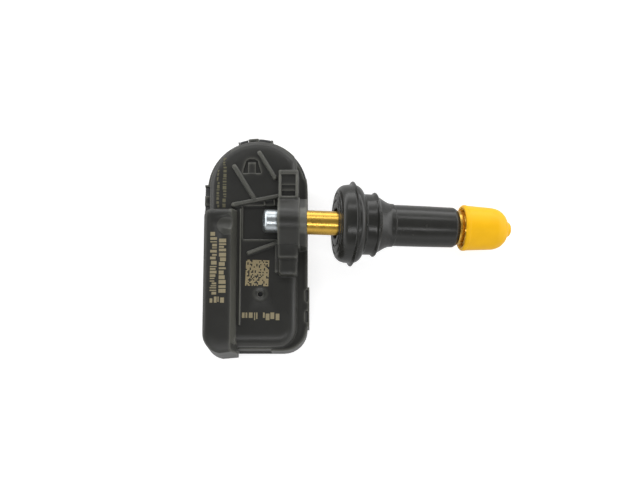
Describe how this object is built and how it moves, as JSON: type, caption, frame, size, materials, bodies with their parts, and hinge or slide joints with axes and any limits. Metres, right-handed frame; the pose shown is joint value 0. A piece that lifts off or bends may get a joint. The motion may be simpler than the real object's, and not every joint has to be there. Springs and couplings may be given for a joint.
{
  "type": "tyre pressure sensor",
  "caption": "Snap-in tyre pressure sensor: a moulded housing with its electronics, screwed to a rubber tyre valve with a brass stem, valve core and plastic cap.",
  "frame": {"origin": "on the back cover's outer face, on the housing's long centre line, level with the valve", "axes": "+X points out along the valve, +Y to the housing's round end, +Z out of the face that holds the screw"},
  "size_m": [0.0698, 0.05, 0.0199],
  "materials": {
    "housing_plastic": "moulded, satin",
    "cover_plastic": "moulded, satin",
    "seal_rubber": "soft, matt",
    "board": "solder mask",
    "bright_steel": "plain, bright",
    "pale_plastic": "plain",
    "chip_plastic": "moulded",
    "ferrite": "sintered, matt",
    "copper_wire": "enamelled wire",
    "brass": "turned, bright",
    "zinc_steel": "bright zinc plate",
    "valve_rubber": "moulded, satin",
    "cap_plastic": "moulded, satin gloss"
  },
  "bodies": {
    "sensor": {"housing": "housing_plastic", "back_cover": "cover_plastic", "cover_seal": "valve_rubber", "circuit_board": "board", "battery_can": "bright_steel", "battery_lid": "bright_steel", "battery_gasket": "pale_plastic", "battery_tab_positive": "bright_steel", "battery_tab_negative": "bright_steel", "sensor_chip": "chip_plastic", "port_gasket": "seal_rubber", "port_filter": "chip_plastic", "lf_coil_core": "ferrite", "lf_coil_winding": "copper_wire", "rf_antenna": "brass", "crystal": "bright_steel", "chip_components": "chip_plastic", "valve_screw": "zinc_steel", "valve_stem": "brass", "valve_rubber": "valve_rubber", "core_barrel": "brass", "core_plug": "brass", "core_spring": "bright_steel", "core_barrel_seal": "pale_plastic"},
    "pin": {"core_pin": "brass", "core_cup": "brass", "core_seat_seal": "seal_rubber"},
    "liner": {"cap_liner": "seal_rubber"},
    "cap": {"valve_cap": "cap_plastic"}
  },
  "joints": [
    {"name": "core_press", "type": "slide", "parent": "sensor", "child": "pin", "axis": [-0.9848, 0, 0.1736], "range_m": [0, 0.001], "stiffness_N_per_m": 60, "deforming": ["core_spring"]},
    {"name": "cap_lift", "type": "slide", "parent": "sensor", "child": "liner", "axis": [0.9848, 0, -0.1736], "range_m": [0, 0.00873]},
    {"name": "cap_turn", "type": "hinge", "parent": "liner", "child": "cap", "pos_m": [0.01135, 0, 0.01214], "axis": [0.9848, 0, -0.1736], "range_deg": [0, 3960]}
  ],
  "couplings": [
    {"joint": "cap_turn", "follows": "cap_lift", "rad_per_m": 7913.2}
  ]
}
